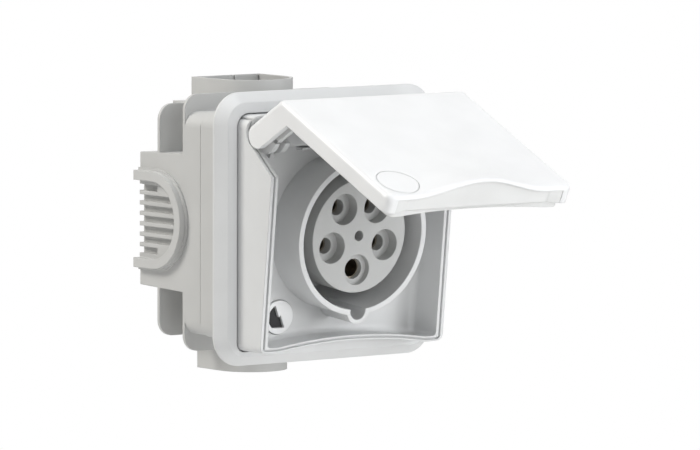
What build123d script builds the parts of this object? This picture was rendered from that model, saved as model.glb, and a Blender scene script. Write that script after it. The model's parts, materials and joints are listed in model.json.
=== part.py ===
from build123d import *
from math import atan, cos, degrees, radians, sin, tan
import os

# Flush-mounted five-pole wall socket with a bent hinged lid, a square frame and a wall box
# Millimetres. X runs to the right seen from the front, +Y into the wall, +Z up.
# The origin is the centre of the frame's back face, in the plane of the finished wall.

os.makedirs("parts", exist_ok=True)

# Front frame
frame_size = 107.4
frame_corner = 12.3
frame_depth = 5.0
frame_edge = 0.9
frame_border = 3.85
pocket_plate = 1.3
pocket_gap = 0.5
tube_hole_gap = 2.0
frame_screw_radius = 1.5
frame_screw_head = 2.6
frame_screw_head_height = 1.8
frame_screw_spacing = 59.0
frame_screw_rise = 8.1
frame_screw_length = 12.0
screw_hole_gap = 0.2
gasket_outer = 98.4
gasket_inner = 92.8
gasket_seat = 1.0

# Socket housing: the skirt round the lid opening
skirt_width = 90.1
skirt_top = 45.2
skirt_bottom = 47.3
skirt_corner = 5.0
skirt_foot_corner = 3.0
skirt_head_front = 13.4
skirt_side_wall = 3.5
skirt_end_wall = 2.1
top_wall = 1.4
rear_wall = 2.5
arch_rise = 2.8
arch_width = 72.0
tilt = 6.0
lip_front = 24.35
kink_height = 22.0
slant = 41.0
groove_width = 0.9
groove_inset = 1.3
groove_depth = 1.2
foot_groove_width = 0.7
foot_groove_inset = 0.7
seal_thickness = 0.9
cavity_fillet = 2.5

# Shroud and contact insert, measured along the tilted socket axis from the wall plane
axis_drop = 0.6
rim_height = 26.4
face_height = 23.8
floor_height = 8.5
floor_wall = 2.0
shroud_radius = 29.0
shroud_wall = 2.2
well_depth = 40.0
well_floor = 2.0
keyway_radius = 3.7
keyway_wall = 1.7
keyway_centre = 29.3
insert_radius = 22.6
insert_gap = 0.1
collar_radius = 26.0
collar_thickness = 2.5
pin_circle = 13.5
pole_count = 5
earth_angle = -90.0
phase_pin_radius = 2.5
earth_pin_radius = 3.5
pin_clearance = 0.05
phase_hole_radius = 3.2
earth_hole_radius = 4.05
phase_recess_radius = 6.2
earth_recess_radius = 6.05
phase_recess_depth = 5.0
earth_recess_depth = 2.4
phase_contact_depth = 9.0
earth_contact_depth = 4.5
contact_bore_length = 24.0
block_wall = 1.4
block_length = 12.0
centre_hole_radius = 2.1
centre_hole_depth = 6.0
carrier_depth = 16.0
wire_hole_radius = 2.6
wire_hole_depth = 10.0
terminal_screw_radius = 1.5
terminal_screw_length = 6.0
terminal_driver_radius = 1.9
terminal_screw_bite = 2.9
terminal_slot_width = 0.8
terminal_slot_depth = 0.9
carrier_screw_radius = 1.6
carrier_screw_head = 3.0
carrier_screw_head_height = 2.0
carrier_screw_length = 24.0

# Quick-turn fasteners in two corners of the housing floor
fastener_places = ((-25.7, -33.7), (32.3, 21.5))
fastener_radius = 6.7
fastener_proud = 0.9
fastener_head = 1.9
fastener_recess_depth = 1.3
fastener_slot_radius = 5.1
slot_lean = 2.1
slot_step = 0.8
fastener_shank = 3.0
fastener_gap = 0.3
fastener_boss_wall = 1.4
fastener_boss_floor = 1.2
cam_length = 4.4
cam_width = 3.4
cam_height = 2.0
cam_drop = 1.2
cam_gap = 0.5

# Lid: main panel and short hinge arm, drawn closed and then turned open
lid_gap = 0.3
lid_open = 70.4
arm_length = 18.5
knuckle_radius = 6.3
knuckle_gap = 0.4
lid_skin = 2.0
lid_side_wall = 2.4
lid_knuckle_out = 4.4
knuckle_ahead = 0.45
lid_length = 69.0
lid_round = 2.2
lid_corner = 3.5
bend_round = 4.0
window_width = 80.6
lip_bulge = 6.0
bulge_width = 68.0
bulge_start = 27.0
bulge_sections = 5
bulge_points = 13
mark_radius = 8.6
mark_line = 0.3
mark_depth = 0.4
mark_x = -34.0
mark_along = 58.5
liner_drop = 2.5
liner_wall = 2.0
liner_web = 2.1
liner_corner = 2.5
liner_gap = 0.35
gasket_thickness = 1.1
gasket_rest = 0.35
liner_arm_drop = 0.9
liner_arm_end = 1.9
gasket_width = 4.6
bore_gap = 0.05
hinge_pin_radius = 1.25
hinge_pin_blind = 1.3
ear_eye = 2.05
ear_back = 235.0
ear_front = 331.0
ear_radius = 8.6
ear_stem = 11.0
ear_stem_front = 255.0
ear_width = 2.3
ear_overrun = 0.3
lug_width = 2.1
lug_gap = 0.3
lug_radius = 5.2
spring_wire = 0.7
spring_turns = 5
spring_coil_radius = 1.72
spring_notch = 0.4
spring_pin_length = 7.5
spring_leg = 7.2
spring_rest_length = 7.0
spring_rest_height = 1.1
spring_rest_x = -18.5
spring_rest_z = 31.0
spring_rest_front = 16.0

# Extension ring and wall box
box_drop = 0.6
ring_width = 78.6
ring_height = 89.4
ring_length = 28.3
ring_wall = 2.0
ring_corner = 6.0
ring_chamfer = 0.6
ring_web = 3.0
spigot_length = 7.0
spigot_wall = 1.6
boss_radius = 3.4
boss_inset = 3.0
boss_length = 14.0
fit_gap = 0.1
box_width = 78.0
box_height = 88.4
box_corner = 6.0
box_wall = 2.0
box_depth = 68.8
neck_end = 40.1
bar_height = 55.0
bar_draft = 2.0
upright_width = 46.0
upright_height = 92.6
fin_thickness = 1.5
tall_fin_height = 102.0
short_fin_height = 92.6
short_fin_place = 55.6
fin_corner = 6.3
fixing_hole_radius = 2.2
fixing_spacing_x = 54.0
fixing_spacing_z = 30.0

# Cable entries: louvred grilles at the sides, conduit sleeve on top, spigot below
grille_centre = 56.8
grille_outer = 19.4
grille_inner = 15.5
grille_proud = 3.4
grille_base = 20.4
grille_base_proud = 1.0
grille_tuck = 1.8
grille_plate = 1.2
grille_lap = 1.0
rib_rise = 2.1
slot_count = 7
slot_pitch = 4.17
slot_height = 2.5
short_slot_end = 56.7
sleeve_centre = 47.6
sleeve_radius = 16.8
sleeve_back = 64.7
sleeve_wall = 1.3
sleeve_top = 55.2
sleeve_slit = 0.5
sleeve_slit_place = 3.4
sleeve_slit_depth = 5.0
spigot_radius = 14.7
spigot_back = 63.5
spigot_bottom = 61.5

# Values worked out from the driving dimensions
half_skirt = skirt_width / 2
inner_half = half_skirt - skirt_side_wall
skirt_rear = pocket_plate + seal_thickness
tan_tilt = tan(radians(tilt))
cos_tilt = cos(radians(tilt))
sin_tilt = sin(radians(tilt))
cos_slant = cos(radians(slant))
sin_slant = sin(radians(slant))
kink = (lip_front + kink_height * tan_tilt, kink_height)
panel_normal = (cos_tilt, -sin_tilt)
panel_down = (-sin_tilt, -cos_tilt)
arm_normal = (sin_slant, cos_slant)
arm_back = (-cos_slant, sin_slant)
bend_cos = cos(radians(90 - slant + tilt))
hinge_reach = knuckle_radius + lid_gap
hinge = (
    kink[0] + arm_length * arm_back[0] + hinge_reach * arm_normal[0],
    kink[1] + arm_length * arm_back[1] + hinge_reach * arm_normal[1],
)
trough_radius = knuckle_radius + knuckle_gap
shroud_outer = shroud_radius + shroud_wall
well_bottom = rim_height - well_depth
pole_step = 360 / pole_count

# Planes that several pieces share
socket_plane = Plane(
    origin=(0, 0, -axis_drop), x_dir=(1, 0, 0), z_dir=(0, -cos_tilt, -sin_tilt)
)
side_plane = Plane(origin=(0, 0, 0), x_dir=(0, -1, 0), z_dir=(-1, 0, 0))


def meeting_point(panel_step, arm_step):
    """Where the panel line and the arm line meet, each moved out from the skirt's edge."""
    spread = 1 - bend_cos**2
    along_panel = (panel_step - arm_step * bend_cos) / spread
    along_arm = (arm_step - panel_step * bend_cos) / spread
    return (
        kink[0] + along_panel * panel_normal[0] + along_arm * arm_normal[0],
        kink[1] + along_panel * panel_normal[1] + along_arm * arm_normal[1],
    )


bend = meeting_point(lid_gap, lid_gap)


def panel_point(along, out):
    """A point of the closed lid's panel: along from the bend, out from its rim line."""
    return (
        bend[0] + along * panel_down[0] + out * panel_normal[0],
        bend[1] + along * panel_down[1] + out * panel_normal[1],
    )


def arm_point(ahead, out):
    """A point of the closed lid's arm: ahead of the hinge axis, out from the axis."""
    return (
        hinge[0] - ahead * arm_back[0] + out * arm_normal[0],
        hinge[1] - ahead * arm_back[1] + out * arm_normal[1],
    )


def from_hinge(point):
    """A closed-lid point in the coordinates of lid_side, whose origin is the hinge axis."""
    return (point[0] - hinge[0], point[1] - hinge[1])


open_cos = cos(radians(lid_open))
open_sin = sin(radians(lid_open))
lid_side = Plane(
    origin=(0, -hinge[0], hinge[1]), x_dir=(0, -open_cos, open_sin), z_dir=(-1, 0, 0)
)
panel_angle = radians(lid_open - tilt - 90)
panel_run = Vector(0, -cos(panel_angle), sin(panel_angle))
panel_out = Vector(0, sin(panel_angle), cos(panel_angle))


def lid_world(point):
    """The opened place of a closed-lid point."""
    ahead, up = from_hinge(point)
    return Vector(
        0,
        -hinge[0] - ahead * open_cos + up * open_sin,
        hinge[1] + ahead * open_sin + up * open_cos,
    )


panel_plane = Plane(origin=lid_world(bend), x_dir=(1, 0, 0), z_dir=panel_out)


def panel_section(along):
    """A plane across the lid's panel, at a distance from the bend."""
    return Plane(
        origin=lid_world(panel_point(along, 0)), x_dir=(1, 0, 0), z_dir=panel_run
    )


def skirt_outline(inset, head, foot, corner_inset):
    """The skirt's outline from the front, moved in, with its arched bottom edge."""
    side = half_skirt - inset
    arch = arch_width / 2
    with BuildSketch() as outline:
        with BuildLine():
            Polyline((-arch, -foot), (-side, -foot), (-side, head), (side, head),
                     (side, -foot), (arch, -foot))
            ThreePointArc((arch, -foot), (0, arch_rise - foot), (-arch, -foot))
        make_face()
        fillet(outline.vertices().group_by(Axis.Y)[-1], skirt_corner - corner_inset)
        feet = outline.vertices().group_by(Axis.Y)[0].sort_by(Axis.X)
        fillet([feet[0], feet[-1]], skirt_foot_corner - corner_inset)
    return outline.sketch


reach = 70
skirt_face = skirt_outline(0, skirt_top, skirt_bottom, 0)
pocket_face = skirt_outline(
    -pocket_gap, skirt_top + pocket_gap, skirt_bottom + pocket_gap, -pocket_gap
)
rear_face = skirt_outline(
    rear_wall, skirt_top - rear_wall, skirt_bottom - rear_wall, rear_wall / 2
)
cavity_face = skirt_outline(
    skirt_side_wall, skirt_top - top_wall, skirt_bottom - skirt_end_wall, top_wall
)

# Front frame: square border with a sloped edge and a pocket that takes the skirt
boss_x = ring_width / 2 - ring_wall - boss_inset
screw_plane = Plane(
    origin=(0, 0, frame_screw_rise - box_drop), x_dir=(1, 0, 0), z_dir=(0, -1, 0)
)


def cam_plane(place):
    """The plane of the front of one fastener's cam, behind the frame's plate."""
    return socket_plane.offset(-place[1] * tan_tilt - cam_drop)


with BuildPart() as front_frame:
    with BuildSketch(Plane.XZ):
        RectangleRounded(frame_size, frame_size, frame_corner)
    extrude(amount=frame_edge)
    with BuildSketch(Plane.XZ.offset(frame_edge)):
        RectangleRounded(frame_size, frame_size, frame_corner)
    border_slope = degrees(atan(frame_border / (frame_depth - frame_edge)))
    extrude(amount=frame_depth - frame_edge, taper=border_slope)
    with BuildSketch(Plane.XZ.offset(pocket_plate)):
        add(pocket_face)
    extrude(amount=frame_depth, mode=Mode.SUBTRACT)
    with BuildSketch(Plane.XZ):
        Circle(shroud_outer + tube_hole_gap)
        with Locations((0, -keyway_centre - axis_drop)):
            Circle(keyway_radius + keyway_wall + tube_hole_gap)
    extrude(amount=frame_depth, mode=Mode.SUBTRACT)
    with BuildSketch(screw_plane):
        with GridLocations(2 * boss_x, frame_screw_spacing, 2, 2):
            Circle(frame_screw_radius + screw_hole_gap)
    extrude(amount=frame_depth, mode=Mode.SUBTRACT)
    with BuildSketch(Plane.XZ):
        RectangleRounded(gasket_outer, gasket_outer, frame_corner - frame_size / 2 + gasket_outer / 2)
        RectangleRounded(
            gasket_inner, gasket_inner, frame_corner - frame_size / 2 + gasket_inner / 2,
            mode=Mode.SUBTRACT,
        )
    extrude(amount=gasket_seat, mode=Mode.SUBTRACT)
    for place in fastener_places:
        with BuildSketch(cam_plane(place)):
            with Locations(place):
                Circle(fastener_shank + cam_gap)
                Rectangle(cam_width + 2 * cam_gap, 2 * (cam_length + cam_gap))
        extrude(amount=frame_depth + cam_drop, mode=Mode.SUBTRACT)
front_frame.part.label = "front_frame"
export_step(front_frame.part, "parts/front_frame.step")

# Gasket let into the back of the frame, flush with the wall
with BuildPart() as frame_gasket:
    with BuildSketch(Plane.XZ):
        RectangleRounded(gasket_outer, gasket_outer, frame_corner - frame_size / 2 + gasket_outer / 2)
        RectangleRounded(
            gasket_inner, gasket_inner, frame_corner - frame_size / 2 + gasket_inner / 2,
            mode=Mode.SUBTRACT,
        )
    extrude(amount=gasket_seat)
frame_gasket.part.label = "frame_gasket"
export_step(frame_gasket.part, "parts/frame_gasket.step")

# Seal strip between the skirt's back edge and the frame
with BuildPart() as housing_seal:
    with BuildSketch(Plane.XZ.offset(pocket_plate)):
        add(skirt_face)
        add(rear_face, mode=Mode.SUBTRACT)
    extrude(amount=seal_thickness)
housing_seal.part.label = "housing_seal"
export_step(housing_seal.part, "parts/housing_seal.step")

# Socket housing: skirt, tilted floor, shroud and well moulded in one
trough_back = hinge[0] - trough_radius - floor_wall
slope_foot = (skirt_head_front, kink[1] + (kink[0] - skirt_head_front) * sin_slant / cos_slant)
ear_outer_x = inner_half
lug_outer_x = ear_outer_x - ear_width - lug_gap
ear_inner_x = lug_outer_x - lug_width - lug_gap
ear_middles = (ear_outer_x - ear_width / 2, ear_inner_x - ear_width / 2)
head_seat = floor_height - fastener_head + fastener_proud - fastener_gap


def floor_at(height, depth):
    """How far forward of the wall a plane parallel to the socket floor lies, at a height."""
    return (depth + (height + axis_drop) * sin_tilt) / cos_tilt


def around_hinge(radius, angle):
    """A point of the side view at a distance and direction from the hinge axis."""
    turn = radians(angle)
    return (hinge[0] + radius * cos(turn), hinge[1] + radius * sin(turn))


def ear_sector(radius, front):
    """A sector of a hinge ear, from its back edge to a direction in front."""
    with BuildSketch() as sector:
        with Locations(hinge):
            Circle(radius)
        with BuildLine():
            Polyline(
                hinge, around_hinge(3 * radius, ear_back),
                around_hinge(3 * radius, (ear_back + front) / 2),
                around_hinge(3 * radius, front), close=True,
            )
        make_face(mode=Mode.INTERSECT)
    return sector.sketch


# The room in front of the floor, with its rounded foot
with BuildPart() as front_room:
    with BuildSketch(Plane.XZ):
        add(cavity_face)
    extrude(amount=reach)
    with BuildSketch(side_plane):
        with BuildLine():
            Polyline(
                (floor_at(-reach, floor_height), -reach),
                (floor_at(hinge[1], floor_height), hinge[1]),
                (reach, hinge[1]), (reach, -reach), close=True,
            )
        make_face()
    extrude(amount=reach, both=True, mode=Mode.INTERSECT)
    fillet(front_room.faces().sort_by(Axis.Y)[-1].edges(), cavity_fillet)

# The room behind the floor, open at the back
with BuildPart() as rear_room:
    with BuildSketch(Plane.XZ):
        add(rear_face)
    extrude(amount=reach)
    with BuildSketch(side_plane):
        with BuildLine():
            Polyline(
                (-reach, -reach), (floor_at(-reach, floor_height - floor_wall), -reach),
                (floor_at(spring_rest_z, floor_height - floor_wall), spring_rest_z),
                (trough_back, spring_rest_z + floor_wall), (trough_back, reach),
                (-reach, reach), close=True,
            )
        make_face()
    extrude(amount=reach, both=True, mode=Mode.INTERSECT)

# The groove between the two lips on the skirt's edge
groove_foot = skirt_bottom - foot_groove_inset
outer_lip = skirt_outline(groove_inset, reach, groove_foot, groove_inset)
inner_lip = skirt_outline(
    groove_inset + groove_width, reach, groove_foot - foot_groove_width,
    groove_inset + groove_width,
)
groove_kink = meeting_point(-groove_depth, -groove_depth)
groove_run = reach - groove_kink[1]

with BuildPart() as lip_groove:
    with BuildSketch(Plane.XZ):
        add(outer_lip)
        add(inner_lip, mode=Mode.SUBTRACT)
    extrude(amount=reach)
    with BuildSketch(side_plane):
        with BuildLine():
            Polyline(
                (groove_kink[0] - (groove_kink[1] + reach) * tan_tilt, -reach), groove_kink,
                (groove_kink[0] - groove_run * cos_slant / sin_slant, reach),
                (reach, reach), (reach, -reach), close=True,
            )
        make_face()
    extrude(amount=reach, both=True, mode=Mode.INTERSECT)

with BuildPart() as socket_housing:
    with BuildSketch(Plane.XZ.offset(skirt_rear)):
        add(skirt_face)
    extrude(amount=reach)
    with BuildSketch(side_plane):
        with BuildLine():
            Polyline(
                (skirt_rear, -reach), (lip_front - reach * tan_tilt, -reach), kink,
                slope_foot, (skirt_head_front, reach), (skirt_rear, reach), close=True,
            )
        make_face()
    extrude(amount=reach, both=True, mode=Mode.INTERSECT)
    add(front_room.part, mode=Mode.SUBTRACT)
    add(rear_room.part, mode=Mode.SUBTRACT)
    with BuildSketch(side_plane):
        with Locations(hinge):
            Circle(trough_radius)
    extrude(amount=inner_half, both=True, mode=Mode.SUBTRACT)
    with BuildSketch(side_plane.offset(inner_half)):
        with Locations(hinge):
            Circle(trough_radius)
    extrude(amount=reach, mode=Mode.SUBTRACT)
    with BuildSketch(side_plane.offset(-inner_half)):
        with Locations(hinge):
            Circle(trough_radius)
    extrude(amount=-reach, mode=Mode.SUBTRACT)
    with BuildSketch(socket_plane.offset(well_bottom - well_floor)):
        Circle(shroud_outer)
    extrude(amount=well_depth + well_floor)
    with BuildSketch(socket_plane.offset(well_bottom - well_floor)):
        with Locations((0, -keyway_centre)):
            Circle(keyway_radius + keyway_wall)
    extrude(amount=well_depth + well_floor)
    for place in fastener_places:
        with BuildSketch(socket_plane.offset(head_seat - fastener_boss_floor)):
            with Locations(place):
                Circle(fastener_radius + fastener_gap + fastener_boss_wall)
        extrude(amount=floor_height - head_seat + fastener_boss_floor)
    with BuildSketch(socket_plane.offset(well_bottom)):
        Circle(shroud_radius)
        with Locations((0, -keyway_centre)):
            Circle(keyway_radius)
    extrude(amount=reach, mode=Mode.SUBTRACT)
    with BuildSketch(socket_plane.offset(-reach)):
        Circle(insert_radius + insert_gap)
    extrude(amount=2 * reach, mode=Mode.SUBTRACT)
    for place in fastener_places:
        with BuildSketch(socket_plane.offset(head_seat)):
            with Locations(place):
                Circle(fastener_radius + fastener_gap)
        extrude(amount=floor_height, mode=Mode.SUBTRACT)
        with BuildSketch(socket_plane):
            with Locations(place):
                Circle(fastener_shank + fastener_gap)
        extrude(amount=reach / 2, both=True, mode=Mode.SUBTRACT)
    add(lip_groove.part, mode=Mode.SUBTRACT)
    for side in (-1, 1):
        for middle in ear_middles:
            with BuildSketch(side_plane.offset(-side * middle)):
                add(ear_sector(ear_radius, ear_front))
                add(ear_sector(ear_stem, ear_stem_front))
                with Locations(hinge):
                    Circle(ear_eye)
                    Circle(hinge_pin_radius + bore_gap, mode=Mode.SUBTRACT)
            extrude(amount=ear_width / 2, both=True)
    with BuildSketch(Plane.XY.offset(spring_rest_z)):
        with Locations((spring_rest_x, -(trough_back + spring_rest_front) / 2)):
            Rectangle(spring_rest_length, spring_rest_front - trough_back)
    extrude(amount=spring_rest_height)
socket_housing.part.label = "socket_housing"
export_step(socket_housing.part, "parts/socket_housing.step")

# Contact insert: five recessed holes in the standard's pattern, with a collar behind the well
insert_back = well_bottom - well_floor
carrier_front = insert_back - collar_thickness
carrier_back = carrier_front - carrier_depth
first_angle = earth_angle + pole_step
pole_names = ("contact_l1", "contact_l2", "contact_l3", "contact_neutral")

with BuildPart() as contact_insert:
    with BuildSketch(socket_plane.offset(carrier_front)):
        Circle(insert_radius)
    extrude(amount=face_height - carrier_front)
    with BuildSketch(socket_plane.offset(carrier_front)):
        Circle(collar_radius)
    extrude(amount=collar_thickness)
    with BuildSketch(socket_plane.offset(face_height - phase_recess_depth)):
        with PolarLocations(pin_circle, pole_count - 1, first_angle, 360 - 2 * pole_step, endpoint=True):
            Circle(phase_recess_radius)
    extrude(amount=phase_recess_depth, mode=Mode.SUBTRACT)
    with BuildSketch(socket_plane.offset(face_height - earth_recess_depth)):
        with PolarLocations(pin_circle, 1, earth_angle):
            Circle(earth_recess_radius)
    extrude(amount=earth_recess_depth, mode=Mode.SUBTRACT)
    with BuildSketch(socket_plane.offset(carrier_front)):
        with PolarLocations(pin_circle, pole_count - 1, first_angle, 360 - 2 * pole_step, endpoint=True):
            Circle(phase_hole_radius)
        with PolarLocations(pin_circle, 1, earth_angle):
            Circle(earth_hole_radius)
    extrude(amount=reach, mode=Mode.SUBTRACT)
    with BuildSketch(socket_plane.offset(face_height - centre_hole_depth)):
        Circle(centre_hole_radius)
    extrude(amount=centre_hole_depth, mode=Mode.SUBTRACT)
    with BuildSketch(socket_plane.offset(carrier_front)):
        Circle(carrier_screw_radius)
    extrude(
        amount=carrier_screw_length + carrier_screw_head_height - carrier_depth, mode=Mode.SUBTRACT
    )
contact_insert.part.label = "contact_insert"
export_step(contact_insert.part, "parts/contact_insert.step")


def pole_place(number):
    """The place of one contact on the pin circle: number 0 is the earth."""
    angle = radians(earth_angle + number * pole_step)
    return (pin_circle * cos(angle), pin_circle * sin(angle))


def pole_radius(number):
    """The radius of one contact's hole in the insert."""
    return earth_hole_radius if number == 0 else phase_hole_radius


# Terminal carrier behind the insert, with a pocket for each contact's terminal block
def radial_plane(number):
    """A plane through one contact's axis that faces away from the socket's axis."""
    angle = earth_angle + number * pole_step
    behind = socket_plane.offset(carrier_front - block_length / 2)
    outward = behind.x_dir.rotate(Axis((0, 0, 0), behind.z_dir), angle)
    across, up = pole_place(number)
    centre = behind.origin + behind.x_dir * across + behind.y_dir * up
    return Plane(origin=centre, x_dir=behind.z_dir, z_dir=outward)


with BuildPart() as terminal_carrier:
    with BuildSketch(socket_plane.offset(carrier_back)):
        Circle(collar_radius)
    extrude(amount=carrier_depth)
    for number in range(pole_count):
        with BuildSketch(socket_plane.offset(carrier_front - block_length)):
            with Locations(pole_place(number)):
                Circle(pole_radius(number) + block_wall + fit_gap)
        extrude(amount=block_length, mode=Mode.SUBTRACT)
        with BuildSketch(socket_plane.offset(carrier_back)):
            with Locations(pole_place(number)):
                Circle(wire_hole_radius)
        extrude(amount=carrier_depth, mode=Mode.SUBTRACT)
    with BuildSketch(socket_plane.offset(carrier_back)):
        Circle(carrier_screw_radius)
    extrude(amount=carrier_depth, mode=Mode.SUBTRACT)
    with BuildSketch(socket_plane.offset(carrier_back)):
        Circle(carrier_screw_head)
    extrude(amount=carrier_screw_head_height, mode=Mode.SUBTRACT)
    for number in range(pole_count):
        with BuildSketch(radial_plane(number)):
            Circle(terminal_driver_radius)
        extrude(amount=2 * collar_radius, mode=Mode.SUBTRACT)
terminal_carrier.part.label = "terminal_carrier"
export_step(terminal_carrier.part, "parts/terminal_carrier.step")

# Five contacts: sleeve at the front, terminal block at the back
for number in range(pole_count):
    if number == 0:
        name = "contact_earth"
        pin_radius = earth_pin_radius
        mouth = face_height - earth_contact_depth
    else:
        name = pole_names[number - 1]
        pin_radius = phase_pin_radius
        mouth = face_height - phase_contact_depth
    with BuildPart() as contact:
        with BuildSketch(socket_plane.offset(carrier_front)):
            with Locations(pole_place(number)):
                Circle(pole_radius(number) - bore_gap)
        extrude(amount=mouth - carrier_front)
        with BuildSketch(socket_plane.offset(carrier_front - block_length)):
            with Locations(pole_place(number)):
                Circle(pole_radius(number) + block_wall)
        extrude(amount=block_length)
        with BuildSketch(socket_plane.offset(mouth - contact_bore_length)):
            with Locations(pole_place(number)):
                Circle(pin_radius + pin_clearance)
        extrude(amount=contact_bore_length, mode=Mode.SUBTRACT)
        with BuildSketch(socket_plane.offset(carrier_front - block_length)):
            with Locations(pole_place(number)):
                Circle(wire_hole_radius)
        extrude(amount=wire_hole_depth, mode=Mode.SUBTRACT)
        with BuildSketch(radial_plane(number)):
            Circle(terminal_screw_radius)
        extrude(amount=collar_radius, mode=Mode.SUBTRACT)
    contact.part.label = name
    export_step(contact.part, f"parts/{name}.step")

# One clamping screw in each terminal block
with BuildPart() as terminal_screws:
    for number in range(pole_count):
        with BuildSketch(radial_plane(number).offset(terminal_screw_bite)):
            Circle(terminal_screw_radius)
        extrude(amount=terminal_screw_length)
        with BuildSketch(radial_plane(number).offset(terminal_screw_bite + terminal_screw_length)):
            Rectangle(terminal_slot_width, 2 * terminal_screw_radius)
        extrude(amount=-terminal_slot_depth, mode=Mode.SUBTRACT)
terminal_screws.part.label = "terminal_screws"
export_step(terminal_screws.part, "parts/terminal_screws.step")

# Screw that holds the terminal carrier to the insert
with BuildPart() as carrier_screw:
    with BuildSketch(socket_plane.offset(carrier_back)):
        Circle(carrier_screw_head)
    extrude(amount=carrier_screw_head_height)
    with BuildSketch(socket_plane.offset(carrier_back + carrier_screw_head_height)):
        Circle(carrier_screw_radius)
    extrude(amount=carrier_screw_length)
    with BuildSketch(socket_plane.offset(carrier_back)):
        Rectangle(terminal_slot_width, 2 * carrier_screw_head)
    extrude(amount=terminal_slot_depth, mode=Mode.SUBTRACT)
carrier_screw.part.label = "carrier_screw"
export_step(carrier_screw.part, "parts/carrier_screw.step")

# Four screws that hold the frame to the extension ring
with BuildPart() as frame_screws:
    with BuildSketch(screw_plane.offset(pocket_plate)):
        with GridLocations(2 * boss_x, frame_screw_spacing, 2, 2):
            Circle(frame_screw_head)
    extrude(amount=frame_screw_head_height)
    with BuildSketch(screw_plane.offset(pocket_plate)):
        with GridLocations(2 * boss_x, frame_screw_spacing, 2, 2):
            Circle(frame_screw_radius)
    extrude(amount=-frame_screw_length)
    with BuildSketch(screw_plane.offset(pocket_plate + frame_screw_head_height)):
        with GridLocations(2 * boss_x, frame_screw_spacing, 2, 2):
            Rectangle(2 * frame_screw_radius, terminal_slot_width)
            Rectangle(terminal_slot_width, 2 * frame_screw_radius)
    extrude(amount=-terminal_slot_depth, mode=Mode.SUBTRACT)
frame_screws.part.label = "frame_screws"
export_step(frame_screws.part, "parts/frame_screws.step")

# Hinge pins through the ears; the left one is longer and carries the spring
pin_start = ear_inner_x - ear_width - ear_overrun
pin_end = half_skirt - lid_side_wall + hinge_pin_blind
pin_plane = Plane(origin=(0, -hinge[0], hinge[1]), x_dir=(0, -1, 0), z_dir=(-1, 0, 0))

with BuildPart() as hinge_pin_left:
    with BuildSketch(pin_plane.offset(pin_start - spring_pin_length)):
        Circle(hinge_pin_radius)
    extrude(amount=pin_end - pin_start + spring_pin_length)
hinge_pin_left.part.label = "hinge_pin_left"
export_step(hinge_pin_left.part, "parts/hinge_pin_left.step")

with BuildPart() as hinge_pin_right:
    with BuildSketch(pin_plane.offset(-pin_start)):
        Circle(hinge_pin_radius)
    extrude(amount=pin_start - pin_end)
hinge_pin_right.part.label = "hinge_pin_right"
export_step(hinge_pin_right.part, "parts/hinge_pin_right.step")

# Closed-lid outlines in the side view, shared by the cover and the liner
socket_at_rim = kink[0] * cos_tilt - kink[1] * sin_tilt - axis_drop * sin_tilt
rim_out = rim_height - socket_at_rim - lid_gap
web_under = rim_out + gasket_rest + gasket_thickness
skin_under = web_under + liner_web
panel_top = skin_under + lid_skin
arm_under = lid_knuckle_out - lid_skin
knuckle_centre = (-knuckle_ahead, (lid_knuckle_out - knuckle_radius) / 2)
knuckle_round = (lid_knuckle_out + knuckle_radius) / 2
knuckle_middle = from_hinge(arm_point(*knuckle_centre))
coil_start = pin_start - spring_wire
notch_start = coil_start - spring_wire / 2 - lug_gap


def lid_profile(panel_low, panel_high, arm_low, arm_high, panel_end, arm_end):
    """The corners of a bent plate in the side view, lower line first."""
    return [
        from_hinge(arm_point(arm_end, arm_low)),
        from_hinge(meeting_point(lid_gap + panel_low, hinge_reach + arm_low)),
        from_hinge(panel_point(panel_end, panel_low)),
        from_hinge(panel_point(panel_end, panel_high)),
        from_hinge(meeting_point(lid_gap + panel_high, hinge_reach + arm_high)),
        from_hinge(arm_point(arm_end, arm_high)),
    ]


def crown_points(along, crown):
    """Points across the swelling of the lid's free edge, at a distance from the bend."""
    share = (along - bulge_start) / (lid_length - bulge_start)
    points = []
    for number in range(bulge_points):
        across = bulge_width * (number / (bulge_points - 1) - 0.5)
        height = crown + lip_bulge * share**2 * cos(radians(180 * across / bulge_width)) ** 2
        points.append((across, height))
    return points


def swelling(base, crown, last):
    """A block under the swollen free edge: flat base, crown over a plane."""
    with BuildPart() as block:
        for step in range(bulge_sections):
            along = bulge_start + (last - bulge_start) * step / (bulge_sections - 1)
            points = crown_points(along, crown)
            with BuildSketch(panel_section(along)):
                with BuildLine():
                    Spline(points)
                    Polyline(
                        points[-1], (bulge_width / 2, base), (-bulge_width / 2, base), points[0]
                    )
                make_face()
        loft()
    return block.part


def shell_section(along, inset, drop):
    """The lid's outer outline across the panel: rounded shoulders and a swollen crown."""
    side = half_skirt - inset
    top = panel_top - drop
    points = crown_points(along, top)
    shift = lid_round * (1 - cos(radians(45)))
    with BuildSketch(panel_section(along)) as section:
        with BuildLine():
            Polyline((-side, top - lid_round), (-side, 0), (side, 0), (side, top - lid_round))
            ThreePointArc(
                (side, top - lid_round), (side - shift, top - shift), (side - lid_round, top)
            )
            Line((side - lid_round, top), points[-1])
            Spline(points)
            Line(points[0], (lid_round - side, top))
            ThreePointArc(
                (lid_round - side, top), (shift - side, top - shift), (-side, top - lid_round)
            )
        make_face()
    return section.sketch


def rounding(along, radius):
    """How far an edge of a radius at the lid's free end has turned in, at a distance."""
    into = max(0, along - lid_length + radius)
    return radius - (radius**2 - into**2) ** 0.5


# The panel's half of the cover, one loft for the slab and one for its rounded free end
with BuildPart() as lid_panel:
    for step in range(bulge_sections):
        along = bulge_start + (lid_length - lid_corner - bulge_start) * step / (bulge_sections - 1)
        add(shell_section(along, 0, 0))
    loft()
    for step in range(bulge_sections):
        along = lid_length - lid_corner * (1 - sin(radians(90 * step / (bulge_sections - 1))))
        add(shell_section(along, rounding(along, lid_corner), rounding(along, lid_round)))
    loft()


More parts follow.
